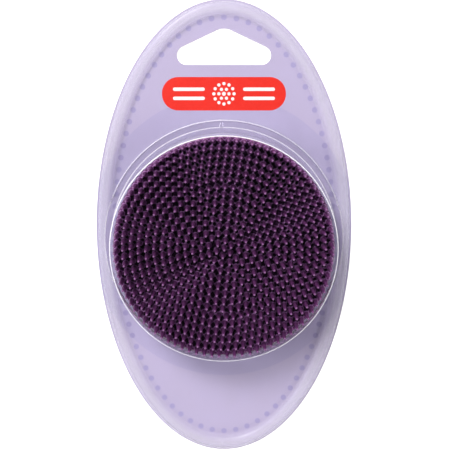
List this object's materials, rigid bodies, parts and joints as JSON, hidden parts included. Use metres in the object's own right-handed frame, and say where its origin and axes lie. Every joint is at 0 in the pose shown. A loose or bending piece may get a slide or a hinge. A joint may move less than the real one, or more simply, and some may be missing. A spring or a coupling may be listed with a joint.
{
  "type": "curry comb in hanging pack",
  "caption": "Round rubber curry comb with rings of conical pins and a back strap, in an oval hanging pack of printed card and clear domed sheet.",
  "frame": {"origin": "middle of the card's back face, where the oval's two axes cross", "axes": "+Z out of the front of the card, +Y along the long axis towards the hang hole, +X to the right of the front"},
  "size_m": [0.098, 0.1748, 0.0254],
  "materials": {
    "card": "coated lavender card printed in two tones",
    "clear_sheet": "clear thermoformed plastic sheet",
    "pad_rubber": "soft satin purple rubber",
    "plate_plastic": "moulded purple plastic with a fine grain",
    "strap_rubber": "ribbed dark purple elastic rubber",
    "clamp_plastic": "moulded purple plastic",
    "rivet_metal": "plated steel"
  },
  "bodies": {
    "card": {"backing_card": "card"},
    "comb": {"bristle_pad": "pad_rubber", "back_plate": "plate_plastic", "hand_strap": "strap_rubber", "strap_clamp_left": "clamp_plastic", "strap_clamp_right": "clamp_plastic", "strap_rivets": "rivet_metal"},
    "blister": {"front_blister": "clear_sheet"}
  },
  "joints": [
    {"name": "comb_lift", "type": "slide", "parent": "card", "child": "comb", "axis": [0, 0, 1], "range_m": [0, 0.045]},
    {"name": "blister_lift", "type": "slide", "parent": "comb", "child": "blister", "axis": [0, 0, 1], "range_m": [0, 0.04]}
  ]
}
